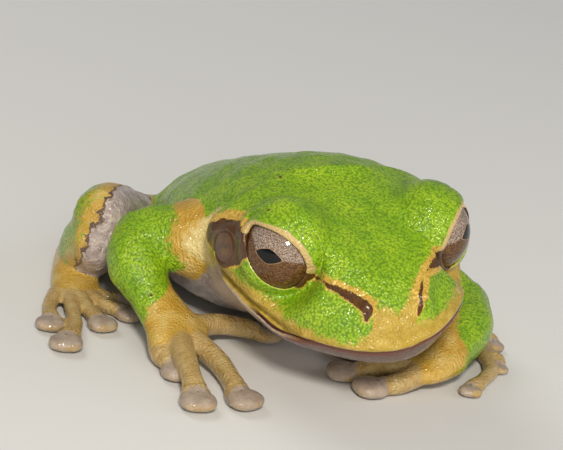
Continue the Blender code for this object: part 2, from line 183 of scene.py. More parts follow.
# %% Finer faces where the forms are small
NOSTRIL = np.array([3.2, 2.45, 4.6])
EAR = np.array([13.15, 18.0, 3.0])
# Radius of an eardrum and depth of the saucer under it, mm
EAR_RADIUS = 1.85
EAR_DIP = 0.10
# Middle of each fine region and how far it reaches, mm
FINE_REGIONS = ((EYE_CENTRE, 6.6), (NOSTRIL, 2.2), (EAR, 4.2))


def lengths(rows):
    return np.linalg.norm(rows, axis=1)


def mirrored(point, side):
    """A place on the frog's left, on the side asked for: 1 is left, -1 is right."""
    return np.array([side * point[0], point[1], point[2]])


def ease(low, high, value):
    """0 to 1 from low to high, with soft ends."""
    t = np.clip((value - low) / (high - low), 0, 1)
    return t * t * (3 - 2 * t)


def lip_height(x, y):
    """Height of the mouth line above the head's own level, mm: high across the snout."""
    level = -0.70 - 0.065 * np.clip(y, 0.0, 11.5)
    tilt = np.where(x > 0, 0.20, 0.10)
    return level + 1.45 * ease(10.0, 4.0, y) + tilt * x * ease(12.0, 6.0, y)


def needs_detail(points):
    p = to_head(points)
    near = np.zeros(len(p), bool)
    for side in (-1, 1):
        for middle, reach in FINE_REGIONS:
            near |= lengths(p - mirrored(middle, side)) < reach
    mouth = np.abs(p[:, 2] - lip_height(p[:, 0], p[:, 1])) < 1.1
    mouth &= (p[:, 1] < 21) & (p[:, 1] > -1.5) & (np.abs(p[:, 0]) < 14.5)
    return near | mouth


def refine(thing):
    bm = bmesh.new()
    bm.from_mesh(thing.data)
    near = needs_detail(corners(thing))
    chosen = [e for e in bm.edges if near[e.verts[0].index] and near[e.verts[1].index]]
    bmesh.ops.subdivide_edges(bm, edges=chosen, cuts=1, use_grid_fill=True)
    bmesh.ops.triangulate(bm, faces=[f for f in bm.faces if len(f.verts) > 4])
    bm.to_mesh(thing.data)
    bm.free()


refine(SKIN)
print("with finer faces", len(SKIN.data.vertices), "vertices")

# %% [markdown]
# ## Working on the vertices
#
# The shaping is done on plain arrays. A vertex can be drawn towards the mean of its neighbours to
# smooth the surface, or only outward, which fills the creases where two parts meet and leaves
# every round form as it is.

# %% Smoothing and creases
def normals(points):
    """Put the vertices at these places and return their outward directions."""
    SKIN.data.vertices.foreach_set("co", (points * MM).ravel())
    SKIN.data.update()
    flat = np.empty(len(points) * 3)
    SKIN.data.vertex_normals.foreach_get("vector", flat)
    return flat.reshape(-1, 3)


PAIRS = np.empty((len(SKIN.data.edges), 2), np.int64)
SKIN.data.edges.foreach_get("vertices", PAIRS.ravel())
COUNT = len(SKIN.data.vertices)
LINKS = np.bincount(PAIRS.ravel(), minlength=COUNT).astype(float)


def neighbour_mean(values):
    """Mean over each vertex's neighbours, of plain numbers or of places."""
    out = np.empty_like(values)
    flat = values.reshape(len(values), -1)
    view = out.reshape(len(values), -1)
    for k in range(flat.shape[1]):
        total = np.bincount(PAIRS[:, 0], flat[PAIRS[:, 1], k], COUNT)
        total += np.bincount(PAIRS[:, 1], flat[PAIRS[:, 0], k], COUNT)
        view[:, k] = total / LINKS
    return out


def smooth(points, times, amount=0.5, weight=None):
    for _ in range(times):
        move = (neighbour_mean(points) - points) * amount
        points = points + (move if weight is None else move * weight[:, None])
    return points


def even(points, times, weight=None):
    """Smoothing that keeps the volume: one step in, one slightly larger step out."""
    for _ in range(times):
        points = smooth(points, 1, 0.5, weight)
        points = smooth(points, 1, -0.52, weight)
    return points


def fill_creases(points, times, weight):
    """Smoothing that only moves outward; the directions are taken again every sixth round."""
    for k in range(times):
        if k % 6 == 0:
            n = normals(points)
        step = ((neighbour_mean(points) - points) * n).sum(axis=1)
        points = points + n * (np.clip(step, 0, None) * weight)[:, None]
    return points


def bump(distance, width):
    """1 at no distance, falling to 0 within about two widths."""
    return np.exp(-((distance / width) ** 2))


# %% [markdown]
# The nearest solid tells which body part a vertex belongs to. Fingers and toes keep their slits;
# everywhere else the creases between the parts are filled like real muscle under skin.

# %% Which part each vertex belongs to
def nearest_part(points):
    places = []
    faces = []
    owner = []
    for name in sorted(NODES):
        base = len(places)
        places += list(corners(NODES[name]))
        for face in NODES[name].data.polygons:
            faces.append([base + k for k in face.vertices])
            owner.append(name)
    tree = BVHTree.FromPolygons([Vector(p) for p in places], faces)
    found = [owner[tree.find_nearest(Vector(p))[2]] for p in points]
    return np.array(found)


POINTS = corners(SKIN)
PART = nearest_part(POINTS)


def on_parts(starts):
    return np.array([name.startswith(starts) for name in PART])


def softened(values, rounds):
    for _ in range(rounds):
        values = neighbour_mean(values)
    return values


def part_weight(starts, rounds=6):
    """1 on the parts whose names start so, easing to 0 over their borders."""
    return softened(on_parts(starts).astype(float), rounds)


DIGITS = ease(0.55, 0.95, part_weight(("finger", "toe"), 10))
POINTS = even(POINTS, 3)
POINTS = fill_creases(POINTS, 80, 1 - DIGITS)
POINTS = smooth(POINTS, 6, 0.5, 1 - 0.6 * DIGITS)
print("creases filled; height", POINTS[:, 2].max().round(2))

# %% [markdown]
# ## The head
#
# What makes the face: a brow over each eye, a blunt ridge from the eye to the nostril, a raised
# lip above the mouth line, small nostril mounds with a slit in each, and the fold of skin that
# runs back over the eardrum. Each is a smooth bump or groove added along the surface normal.

# %% Brow, ridge, lips, nostrils and folds
def snout_lean(y):
    """The snout's middle line leans a little to the frog's right."""
    return -0.65 * np.clip(1 - y / 12.0, 0, 1)


def to_segment(points, a, b):
    """Distance to the straight line from a to b, and how far along it the nearest place is."""
    t = np.clip(((points - a) @ (b - a)) / ((b - a) @ (b - a)), 0, 1)
    return lengths(points - (a + t[:, None] * (b - a))), t


def to_line(points, line):
    """The same for a line through a few points; 1 is the end of the whole line."""
    line = np.asarray(line, float)
    best = np.full(len(points), 1e9)
    along = np.zeros(len(points))
    for k in range(len(line) - 1):
        gap, t = to_segment(points, line[k], line[k + 1])
        along = np.where(gap < best, (k + t) / (len(line) - 1), along)
        best = np.minimum(gap, best)
    return best, along


def face_points(points):
    """Head coordinates with both sides folded onto the frog's left."""
    p = to_head(points)
    x = p[:, 0] - snout_lean(p[:, 1])
    return np.stack([np.abs(x), p[:, 1], p[:, 2]], 1)


BROW_LINE = [(5.6, 8.6, 7.6), (6.6, 11.2, 9.0), (8.0, 14.6, 9.6), (9.4, 17.6, 8.0)]
CANTHUS_LINE = [(6.6, 8.4, 6.2), (5.0, 5.4, 5.9), (3.4, 3.0, 5.4)]
EAR_FOLD = [
    (11.6, 17.4, 6.9), (12.6, 20.2, 5.9), (13.3, 22.4, 4.6), (13.6, 24.4, 2.4), (13.6, 26.0, 0.0),
]
# Line, height and half width of the raised lines, mm
RIDGES = ((BROW_LINE, 0.20, 1.3), (CANTHUS_LINE, 0.26, 1.0))
FACE_PARTS = ("head", "lower_jaw", "eye", "tympanum")


def shape_face(points):
    """Raise and press the forms of the face; every height and width is in mm."""
    n = normals(points)
    f = face_points(points)
    p = to_head(points)
    on_head = ease(27.0, 23.5, f[:, 1]) * part_weight(FACE_PARTS + ("torso",), 2)
    up = np.zeros(len(points))
    for line, high, wide in RIDGES:
        gap, _ = to_line(f, line)
        up += high * bump(gap, wide)
    gap, along = to_line(f, EAR_FOLD)
    up += 0.30 * bump(gap, 0.8) * ease(1.0, 0.75, along)
    mouth = p[:, 2] - lip_height(p[:, 0], p[:, 1])
    front = ease(21.0, 19.0, f[:, 1]) * ease(3.5, 1.5, np.abs(mouth))
    rear = ease(6.0, 10.0, f[:, 1])
    upper_lip = (0.22 - 0.10 * rear) * bump(mouth - 0.55, 0.45)
    lip_groove = (0.34 - 0.32 * rear) * bump(mouth, 0.15)
    up += front * (upper_lip - lip_groove)
    up += front * (0.14 + 0.10 * rear) * bump(mouth + 0.30 + 0.2 * (1 - rear), 0.32)
    nose = f - NOSTRIL
    gap = lengths(nose)
    hole = lengths(nose - (0.22, -0.16, -0.10))
    up += 0.40 * bump(gap, 0.85) - 0.75 * bump(hole, 0.27)
    return points + n * (up * on_head)[:, None]


POINTS = shape_face(POINTS)


def settle_ears(points):
    """Smooth each eardrum's surroundings and press a saucer; returns its middles and axes too."""
    seats = {}
    for side in (-1, 1):
        middle = from_head(mirrored(EAR, side)[None, :])[0]
        away = lengths(points - middle)
        points = smooth(points, 30, 0.5, ease(4.2, 2.6, away))
        n = normals(points)
        away = lengths(points - middle)
        near = (away < EAR_RADIUS) & (n @ (HEAD @ np.array([side, 0, 0])) > 0.3)
        axis = n[near].mean(axis=0)
        axis /= np.linalg.norm(axis)
        seat = points[near].mean(axis=0)
        d = points - seat
        high = d @ axis
        across = lengths(d - high[:, None] * axis)
        target = -EAR_DIP * ease(EAR_RADIUS + 0.1, EAR_RADIUS - 0.25, across)
        weight = ease(1.6 * EAR_RADIUS, EAR_RADIUS, across) * ease(2.4, 1.0, np.abs(high))
        points = points + axis * ((target - high) * weight)[:, None]
        seats[side] = (seat, axis)
    return points, seats


POINTS, EAR_SEATS = settle_ears(POINTS)

# %% [markdown]
# Loose skin on the body and limbs isn't perfectly smooth. A few soft folds run down the flanks and
# across the shoulders, and everything else swells and dips by about a tenth of a millimetre.

# %% Soft folds on body and limbs
WAVES = 14
# Heights of the swells, depth of a fold and the step from one fold to the next, mm
SWELL, FINE_SWELL, FOLD, FOLD_STEP = 0.06, 0.03, 0.16, 3.1


def soft_swell(points, width, seed):
    """A smooth random height with forms about this wide, from a few crossed waves."""
    draw = np.random.default_rng(seed)
    total = np.zeros(len(points))
    for _ in range(WAVES):
        direction = draw.normal(size=3)
        direction *= math.tau / (width * draw.uniform(0.7, 1.5)) / np.linalg.norm(direction)
        total += np.sin(points @ direction + draw.uniform(0, math.tau))
    return total / math.sqrt(WAVES)


def loosen(points):
    n = normals(points)
    body = part_weight(("torso", "upper", "fore", "thigh", "shank"), 12)
    swell = SWELL * soft_swell(points, 5.0, 3) + FINE_SWELL * soft_swell(points, 2.0, 5)
    run = points[:, 1] + 0.35 * points[:, 2] + 1.2 * soft_swell(points, 9.0, 8)
    folds = bump(np.mod(run, FOLD_STEP) - FOLD_STEP / 2, 0.45)
    folds = folds * ease(-0.1, 0.9, soft_swell(points, 7.0, 11))
    flank = body * ease(0.9, 0.5, np.abs(n[:, 2])) * part_weight(("torso",), 8)
    return points + n * (body * swell - FOLD * flank * folds)[:, None]


POINTS = loosen(POINTS)

# %% [markdown]
# ## Toe discs
#
# Every finger and toe ends in a flat sticky disc. Its top is a low dome with a crisp rounded rim,
# and a crease parts it from the finger. Each disc is drawn onto a squarish ellipsoid.

# %% Round discs on fingers and toes
# Half length, half width and half height of a disc, for each unit of its half width in the frame
PAD_HALVES = np.array([0.92, 1.06, 0.42])


def pad_frame(name):
    """Centre, forward, sideways and upward directions and half sizes of one disc."""
    solid = corners(NODES[name])
    root = corners(NODES[("hand_" if name[0] == "f" else "foot_") + name[-2]]).mean(axis=0)
    far = lengths(solid - root)
    tip = solid[np.argmax(far)]
    disc = solid[lengths(solid - tip) < 3.4]
    upward = np.array([0, 0, 1.0])
    behind = np.argsort(np.abs(lengths(solid - tip) - 5.0))[:8]
    forward = tip - solid[behind].mean(axis=0)
    forward[2] = 0
    forward /= np.linalg.norm(forward)
    side = np.cross(upward, forward)
    b = disc @ side
    wide = (b.max() - b.min()) / 2
    along = (solid @ forward).max()
    centre = forward * (along - 0.86 * wide) + side * (b.max() + b.min()) / 2
    centre[2] = PAD_HALVES[2] * wide
    return centre, forward, side, upward, wide


# A distance that stands for no border anywhere near
FAR = 9.0
# Distance from each disc's middle in half sizes, and from its crease in mm
PAD_ROUND = np.full(COUNT, FAR)
PAD_MARK = np.full(COUNT, FAR)
# Power of the disc's outline, where 2 would be a plain ellipse
SQUARISH = 2.5


def shape_pads(points):
    """Draw every disc onto its ellipsoid and pinch the neck behind it."""
    for name in sorted(NODES):
        if not name.startswith(("finger", "toe")):
            continue
        centre, forward, side, upward, wide = pad_frame(name)
        d = points - centre
        a, b, h = d @ forward, d @ side, d @ upward
        here = (PART == name) & (np.hypot(a, b) < 2.2 * wide)
        size = PAD_HALVES * wide
        powers = [np.abs(part / half) ** SQUARISH for part, half in zip((a, b, h), size)]
        level = (powers[0] + powers[1] + powers[2]) ** (1 / SQUARISH)
        weight = np.where(here, ease(-1.05 * size[0], -0.62 * size[0], a), 0.0)
        scale = 1 + (1 / np.maximum(level, 0.2) - 1) * weight * 0.92
        neck = 1 - 0.10 * np.where(here, bump(a + 1.12 * size[0], 0.26), 0.0)
        pinch = (side * b[:, None] + upward * h[:, None]) * (neck - 1)[:, None]
        points = points + (d * (scale - 1)[:, None] + pinch)
        ring = np.where(here, np.hypot(a / size[0], b / size[1]), FAR)
        PAD_ROUND[:] = np.minimum(PAD_ROUND, np.where(a < -0.9 * size[0], 1.3, ring))
        mark = np.hypot(a + 0.55 * size[0], b) + 0.3 * np.maximum(0, -h)
        PAD_MARK[:] = np.minimum(PAD_MARK, np.where(here, mark, FAR))
    return points


POINTS = shape_pads(POINTS)
print("discs shaped", int((PAD_ROUND < 1).sum()), "vertices")

# %% [markdown]
# ## Opening the eyes
#
# The lids lie on the eyeball. Around the eye's axis the opening is an almond that is flat above
# and deep below. Inside it the skin is pushed below the eyeball, where it can't be seen, and
# just outside it the margin stands a little proud and rolls over, thicker above than below.

# %% Lids
# Half width of the opening every 30 degrees around the eye, mm: rear corner, up over the eye, front
LID_REACH = [3.15, 3.95, 3.2, 2.8, 2.8, 3.15, 3.58, 3.7, 3.65, 3.05, 2.65, 2.75]


def eye_axes(side):
    """Rearward, upward and outward unit directions of one eye in the head's axes."""
    out = np.array([side * EYE_AXIS[0], EYE_AXIS[1], EYE_AXIS[2]])
    back = np.cross(out, (0, 0, 1.0)) * -side
    back /= np.linalg.norm(back)
    up = np.cross(out, back) * side
    return back, up, out


def lid_reach(angle):
    """Smooth closed curve through the half widths."""
    steps = len(LID_REACH)
    turn = (angle / math.tau * steps) % steps
    k = np.floor(turn).astype(int)
    t = turn - k
    reach = np.array(LID_REACH)
    before, a, b, after = (reach[(k + j) % steps] for j in (-1, 0, 1, 2))
    bend = 2 * before - 5 * a + 4 * b - after
    return 0.5 * (2 * a + (b - before) * t + bend * t**2 + (3 * a - before - 3 * b + after) * t**3)


def eye_place(points, side):
    """How far outside the lid margin, rearward, up, from the eye's middle, and along its axis."""
    centre = from_head(mirrored(EYE_CENTRE, side)[None, :])[0]
    back, up, out = (HEAD @ axis for axis in eye_axes(side))
    d = points - centre
    u, w, depth = d @ back, d @ up, d @ out
    reach = lid_reach(np.arctan2(w, u))
    return np.hypot(u, w) - reach, u, w, lengths(d), depth


# The gap over the eyeball, how far the skin may sink inside it, and how thick the lids are, mm
GAP = 0.05
SINK = 0.6
LID_BELOW, LID_MORE_ABOVE = 0.22, 0.33


def open_eyes(points):
    """Move the skin only along the eye's axis, so that its place across the eye never changes."""
    for side in (-1, 1):
        outside, u, w, distance, depth = eye_place(points, side)
        across = np.hypot(u, w)
        thick = LID_BELOW + LID_MORE_ABOVE * ease(-1.2, 1.2, w)
        rim = EYE_RADIUS + GAP + thick * (1 - np.exp(-np.clip(outside, 0, None) / 0.16))
        rim_depth = np.sqrt(np.maximum(rim**2 - across**2, 0.2))
        sunk = np.maximum(EYE_RADIUS + GAP + 3.0 * outside, EYE_RADIUS - SINK)
        sunk_depth = np.sqrt(np.maximum(sunk**2 - across**2, 0.05))
        spread = 0.7 + 1.1 * np.clip(depth - rim_depth, 0, 1.8)
        blend = ease(0.1, spread, outside)
        target = np.where(outside < 0, sunk_depth, rim_depth * (1 - blend) + depth * blend)
        move = (depth > 0.3) & (outside < spread) & (distance < EYE_RADIUS + 4.6)
        out = HEAD @ eye_axes(side)[2]
        points = points + out * np.where(move, target - depth, 0.0)[:, None]
    return points


def soften_round_eyes(points):
    """Smooth the ring of skin round each lid, where the lid runs out into brow and cheek."""
    for side in (-1, 1):
        outside, _, w, distance, depth = eye_place(points, side)
        ring = ease(0.5, 1.1, outside) * ease(4.6, 2.6, outside)
        ring = ring * (distance < EYE_RADIUS + 5) * (depth > -1)
        points = smooth(points, 22, 0.5, ring * ease(1.5, -0.5, w))
    return points


POINTS = soften_round_eyes(open_eyes(POINTS))
POINTS[:, 2] = np.maximum(POINTS[:, 2], 0.01)
normals(POINTS)
SKIN.data.shade_smooth()
print("lids open; bounds of the skin", POINTS.min(axis=0).round(2), POINTS.max(axis=0).round(2))

# %% [markdown]
# ## Where each colour goes
#
# The markings are stored on the skin as distances in millimetres to their borders: above 0 is
# inside. A distance stays smooth between vertices, so the shader can add a little noise and cut
# a border that is far crisper than the mesh, and ragged like the real one.

# %% Fields on the face
# Middle line and half width of the dark stripe from eye to nostril, mm; the two sides differ
STRIPES = {
    -1: [
        ((8.35, 9.75, 3.7), 0.85), ((7.75, 9.4, 4.35), 0.74), ((7.1, 9.3, 4.45), 0.43),
        ((6.5, 8.9, 4.45), 0.2), ((6.5, 8.2, 4.9), 0.1), ((6.5, 7.0, 5.28), 0.14),
        ((6.21, 6.48, 5.2), 0.22), ((5.57, 5.71, 5.21), 0.3), ((4.91, 4.86, 5.18), 0.43),
        ((4.13, 3.84, 5.08), 0.52), ((3.62, 3.01, 4.97), 0.56), ((3.16, 2.32, 4.77), 0.6),
        ((3.28, 2.05, 4.17), 0.46), ((3.37, 1.94, 3.75), 0.2),
    ],
    1: [
        ((9.2, 10.4, 3.0), 1.0), ((8.6, 9.9, 3.7), 1.1), ((7.8, 9.2, 4.7), 1.05),
        ((6.9, 8.0, 5.5), 0.78), ((5.9, 6.8, 6.0), 0.5), ((5.1, 6.1, 6.2), 0.24),
        ((4.3, 5.3, 6.2), 0.02), ((3.5, 4.2, 5.9), 0.1), ((2.95, 3.1, 5.6), 0.17),
        ((2.8, 2.4, 5.1), 0.24), ((2.6, 1.8, 4.5), 0.24), ((2.35, 1.35, 3.9), 0.12),
    ],
}
# Outline of the dark ear patch seen from the side, y and z in the head
EAR_PATCH = [
    (23.6, 2.3), (22.3, 3.4), (21.1, 4.6), (19.5, 5.3), (17.6, 6.3), (15.9, 6.7), (14.3, 6.9),
    (13.3, 5.0), (14.0, 3.8), (16.2, 1.7), (17.2, 0.9), (18.2, 1.3), (19.0, 1.9), (20.5, 1.5),
    (22.2, 1.3),
]
# Height of the tan lip band round the mouth: degrees from the snout, right to left, and mm
BAND_TURN = [
    -100, -84, -75, -62, -48, -31, -19.4, -15.7, -12.6, -12.0, -7.3, 0.3,
    3.5, 8.1, 9.6, 10.6, 13.2, 20.4, 29, 35, 48, 79, 100,
]
BAND_TOP = [
    0.9, 1.3, 0.9, 0.6, 0.85, 0.85, 1.1, 1.9, 2.6, 5.2, 4.7, 4.3,
    5.1, 5.8, 6.1, 3.3, 3.2, 3.2, 3.45, 3.7, 3.7, 2.2, 0.9,
]


def inside_outline(points, outline):
    """Distance inside a closed outline, negative outside it."""
    corner = np.asarray(outline, float)
    best = np.full(len(points), 1e9)
    crossings = np.zeros(len(points), int)
    for a, b in zip(corner, np.roll(corner, -1, axis=0)):
        best = np.minimum(best, to_segment(points, a, b)[0])
        over = (a[1] > points[:, 1]) != (b[1] > points[:, 1])
        rise = b[1] - a[1] if b[1] != a[1] else 1e-9
        crossings += over & (points[:, 0] < a[0] + (points[:, 1] - a[1]) * (b[0] - a[0]) / rise)
    return np.where(crossings % 2 == 1, best, -best)


FIELDS = {}
F = face_points(POINTS)
P = to_head(POINTS)
N = normals(POINTS)
MOUTH = P[:, 2] - lip_height(P[:, 0], P[:, 1])
ON_FACE = part_weight(FACE_PARTS, 2)

stripe = np.full(COUNT, -FAR)
for side, stations in STRIPES.items():
    gap, along = to_line(F, [place for place, _ in stations])
    half = np.interp(along, np.linspace(0, 1, len(stations)), [width for _, width in stations])
    here = np.sign(P[:, 0] - snout_lean(P[:, 1])) == side
    stripe = np.where(here, half - gap, stripe)
ear = np.where((F[:, 0] > 9.0) & (ON_FACE > 0.02), inside_outline(F[:, 1:], EAR_PATCH), -FAR)

eye_edge = np.full(COUNT, FAR)
eye_up = np.zeros(COUNT)
eye_rear = np.zeros(COUNT)
for side in (-1, 1):
    outside, u, w, distance, depth = eye_place(POINTS, side)
    near = (depth > -1.0) & (distance < EYE_RADIUS + 3)
    outside = outside * 1.2 + np.where(outside > 0, np.clip(distance - 5.1, 0, None), 0.0)
    eye_up = np.where(near & (outside < eye_edge), w, eye_up)
    eye_rear = np.where(near & (outside < eye_edge), u, eye_rear)
    eye_edge = np.where(near, np.minimum(eye_edge, outside), eye_edge)

across = P[:, 0] - snout_lean(P[:, 1])
turn = np.degrees(np.arctan2(across, 14.0 - P[:, 1]))
turn -= np.where(across > 0, 3.2 * np.clip(P[:, 2] - 4.0, -1.0, 2.2), 0.0)
lip_band = np.minimum(np.interp(turn, BAND_TURN, BAND_TOP) - P[:, 2], 2.0 * MOUTH + 0.3)
lip_band = np.where(F[:, 1] < 22.0, lip_band, -FAR)
# Gold fringe: wide above the stripe and the ear patch, narrow below them
stripe_height = np.interp(F[:, 1], [2.0, 4.3, 7.4, 9.0], [4.4, 5.2, 5.3, 5.1])
above_stripe = ease(-0.2, 0.5, F[:, 2] - stripe_height)
above_ear = ease(1.5, 4.5, F[:, 2] + 0.5 * (F[:, 1] - 19))
fringe = np.maximum(stripe + 0.12 + 0.55 * above_stripe, ear + 0.25 + 0.65 * above_ear)
FIELDS["mask"] = np.maximum(stripe, ear)
FIELDS["tan_face"] = lip_band
FIELDS["fringe"] = fringe
FIELDS["lid_band"] = (0.80 + 0.35 * ease(1.5, -1.5, eye_rear)) * ease(-1.8, 0.2, eye_up) - eye_edge
FIELDS["eye_edge"] = eye_edge
FIELDS["eye_up"] = eye_up
FIELDS["mouth"] = np.where((F[:, 1] < 20.5) & (ON_FACE > 0.3), MOUTH, FAR)
FIELDS["lip_wet"] = 1.1 - 1.1 * ease(5.0, 9.5, F[:, 1])
# How far back the dark lip line and the painted shade under the chin reach
FIELDS["lip_line"] = 1.1 - 1.1 * ease(11.0, 14.0, F[:, 1])
# Painted light: the throat under the head is painted lighter where it lies in shade
throat = np.minimum(np.minimum(23.5 - P[:, 1], P[:, 1] - 10.5), -1.6 - P[:, 2])
FIELDS["throat"] = np.where(part_weight(("head", "lower_jaw", "torso"), 3) > 0.4, throat, -FAR)
behind_ear = np.hypot((F[:, 1] - 24.2) / 2.6, (F[:, 2] + 0.2) / 3.4)
FIELDS["straw"] = np.where(P[:, 0] < -7.0, 2.0 * (1 - behind_ear), -FAR)
on_lip = bump(MOUTH + 0.15, 0.5) * (FIELDS["mouth"] < 5)
FIELDS["sleek"] = np.maximum(on_lip, ease(0.35, 0.10, eye_edge))

# %% [markdown]
# On the limbs the green keeps to the outer and upper sides, where the resting frog shows it. The
# sides that are folded away are tan, and the surfaces where thigh, shank and belly touch are
# thin greyish lilac skin. Each rule is a direction that a surface faces.

# %% Fields on the body and limbs
# To the picture's right, level with the floor
TO_RIGHT = np.array([math.cos(math.radians(-30)), math.sin(math.radians(-30)), 0])
UP = np.array([0, 0, 1.0])


def facing(direction):
    direction = np.asarray(direction, float)
    return N @ (direction / np.linalg.norm(direction))


def limb_along(name):
    """How far along its own longest direction each vertex of a part lies, mm."""
    solid = corners(NODES[name])
    middle = solid.mean(axis=0)
    axis = np.linalg.svd(solid - middle, full_matrices=False)[2][0]
    return (POINTS - middle) @ axis


SOFTEN_ROUNDS = 9
green = np.full(COUNT, 1.5)
torso = on_parts(("torso",))
green[torso] = (2.2 * (N[:, 2] + 0.42))[torso]
# For each part the direction of its green side, and how directly a surface has to face it
rules = {
    "hand_l": (TO_RIGHT, 0.8),
    "thigh_r": (-TO_RIGHT + 0.5 * UP, 0.72),
    "shank_r": (-TO_RIGHT + 0.2 * UP, 0.78),
    "foot_r": (-TO_RIGHT, 1.4),
    "thigh_l": (TO_RIGHT + 0.9 * UP, 0.35),
    "shank_l": (TO_RIGHT + 0.6 * UP, 0.2),
    "foot_l": (TO_RIGHT, 1.4),
}
for name, (direction, level) in rules.items():
    here = PART == name
    green[here] = (2.0 * (facing(direction) - level))[here]
# On the arms a slanted wavy surface parts the green outer side from the tan inner side
SLANT = np.array([0.858, -0.495, 0.139])
CLIMB = np.array([-0.27, -0.03, 0.96])
span = (POINTS - SNOUT) @ SLANT
rise = (POINTS - SNOUT) @ CLIMB
BORDER_RISE = [0.5, 1.2, 2.7, 5.1, 6.7, 9.1, 12.6, 15.0]
BORDER_SPAN = [-28.0, -24.4, -24.6, -26.2, -25.4, -25.4, -25.0, -25.8]
right_border = np.interp(rise, BORDER_RISE, BORDER_SPAN)
here = on_parts(("upper_arm_r", "forearm_r", "hand_r"))
green[here] = (right_border - span)[here]
here = PART == "upper_arm_r"
green[here] = np.maximum(green, np.minimum(span + 22.4, rise - 11.0))[here]
here = on_parts(("upper_arm_l", "forearm_l"))
green[here] = (span - 6.2)[here]
green[on_parts(("finger", "toe"))] = -1.5
green[on_parts(("lower_jaw",))] = -1.0
FIELDS["green"] = softened(green, SOFTEN_ROUNDS)

grey = np.full(COUNT, -1.0)
grey[torso] = (-1.6 * (N[:, 2] + 0.15))[torso] - 0.3 * ease(-6, 8, POINTS[:, 1])[torso]
jaw = on_parts(("lower_jaw",))
grey[jaw] = np.where(F[:, 1] < 7.0, 0.4 - 0.8 * (MOUTH + 1.3), 1.0)[jaw]
folded = facing(TO_RIGHT - 0.35 * UP + 0.2 * np.array([0, -1.0, 0]))
for name, level in (("thigh_r", 0.30), ("shank_r", 0.12)):
    here = PART == name
    grey[here] = (1.6 * (folded - level + 0.35))[here]
here = on_parts(("thigh_l", "shank_l"))
grey[here] = (1.6 * (-facing(TO_RIGHT + 0.5 * UP) - 0.3))[here]
FIELDS["grey"] = softened(grey, SOFTEN_ROUNDS)
FIELDS["knee"] = part_weight(("thigh_r", "shank_r", "foot_r"), 4)

LIMBS = ("upper", "fore", "hand", "thigh", "shank", "foot", "finger", "toe")
along_limb = np.zeros(COUNT)
for name in sorted(set(PART)):
    if name.startswith(LIMBS):
        here = PART == name
        along_limb[here] = limb_along(name)[here]
FIELDS["pad"] = 2.0 * (1.06 - PAD_ROUND)
FIELDS["pad_mark"] = 0.24 - PAD_MARK
FIELDS["along"] = along_limb
# The wrinkles die out where two parts meet, since each part counts them from its own middle
number = np.unique(PART, return_inverse=True)[1]
border = np.zeros(COUNT)
border[PAIRS[number[PAIRS[:, 0]] != number[PAIRS[:, 1]]].ravel()] = 1.0
for _ in range(4):
    border = np.maximum(border, neighbour_mean(border) * 1.2)
FIELDS["digit"] = DIGITS
FIELDS["limb"] = part_weight(LIMBS) * (1 - np.clip(border, 0, 1))
print("fields", {k: (round(float(v.min()), 1), round(float(v.max()), 1)) for k, v in FIELDS.items()})

for name, values in FIELDS.items():
    layer = SKIN.data.attributes.new(name, "FLOAT", "POINT")
    layer.data.foreach_set("value", values.astype(np.float32))

# %% [markdown]
# ## The skin's material
#
# Live frog skin is a thin, moist, slightly translucent layer over closely packed granules about a
# quarter of a millimetre wide. The water film gives many small bright glints, so the shader has a
# soft base and a clear coat. Colours are laid over each other from the ground colour up: tan,
# green with painted shade in the furrows between granules, lilac grey, painted light on the shaded
# throat, the pads, the bands of the face, the dark mask, and last the lip lines with painted shade
# under the chin between them, and a few dark flecks.

# %% Colour and node helpers
def linear(hex_colour):
    """An sRGB hex colour as the linear values that a shader takes."""
    parts = [int(hex_colour[k : k + 2], 16) / 255 for k in (1, 3, 5)]
    return tuple(c / 12.92 if c <= 0.04045 else ((c + 0.055) / 1.055) ** 2.4 for c in parts) + (1.0,)


def new_material(name):
    made = bpy.data.materials.new(name)
    made.use_nodes = True
    made.node_tree.nodes.clear()
    return made, made.node_tree


def add(tree, kind, settings=None, out=0, ramp=None, **links):
    """Add a node and return one of its outputs. A link named i3 goes to input number 3."""
    made = tree.nodes.new(kind)
    for key, value in (settings or {}).items():
        setattr(made, key, value)
    if ramp:
        while len(made.color_ramp.elements) < len(ramp):
            made.color_ramp.elements.new(0.5)
        for spot, (at, colour) in zip(made.color_ramp.elements, ramp):
            spot.position = at
            spot.color = linear(colour)
    for key, value in links.items():
        spot = made.inputs[int(key[1:])] if key[1:].isdigit() else made.inputs[key.replace("_", " ")]
        if isinstance(value, bpy.types.NodeSocket):
            tree.links.new(value, spot)
        else:
            spot.default_value = value
    return made.outputs[out] if len(made.outputs) else made


MATH = "ShaderNodeMath"
MIX = "ShaderNodeMix"
COLOURS = {"data_type": "RGBA"}
PLUS = {"operation": "ADD"}
TIMES = {"operation": "MULTIPLY"}
MINUS = {"operation": "SUBTRACT"}
TIMES_PLUS = {"operation": "MULTIPLY_ADD"}
ABSOLUTE = {"operation": "ABSOLUTE"}
LESSER = {"operation": "MINIMUM"}
GREATER = {"operation": "MAXIMUM"}
RANGE = "ShaderNodeMapRange"
RAMP = "ShaderNodeValToRGB"
NOISE = "ShaderNodeTexNoise"
SURFACE = "ShaderNodeBsdfPrincipled"
OUTPUT = "ShaderNodeOutputMaterial"


def inside(tree, distance, wobble, reach, soft):
    """0 to 1 across a border whose distance is made ragged by a noise."""
    ragged = add(tree, MATH, TIMES_PLUS, i0=wobble, i1=reach, i2=distance)
    return add(tree, RANGE, i0=ragged, i1=-soft, i2=soft)


# %% Frog skin
# Width of one granule, and length of one cross wrinkle on the limbs, mm
GRANULE = 0.27
WRINKLE = 0.62
# Height of the relief, mm
RELIEF = 0.12
skin_material, tree = new_material("moist granular frog skin")
place = add(tree, "ShaderNodeTexCoord", out=3)


def per_mm(width):
    """Texture scale for a pattern whose marks are this many millimetres wide."""
    return 1.0 / (width * MM)


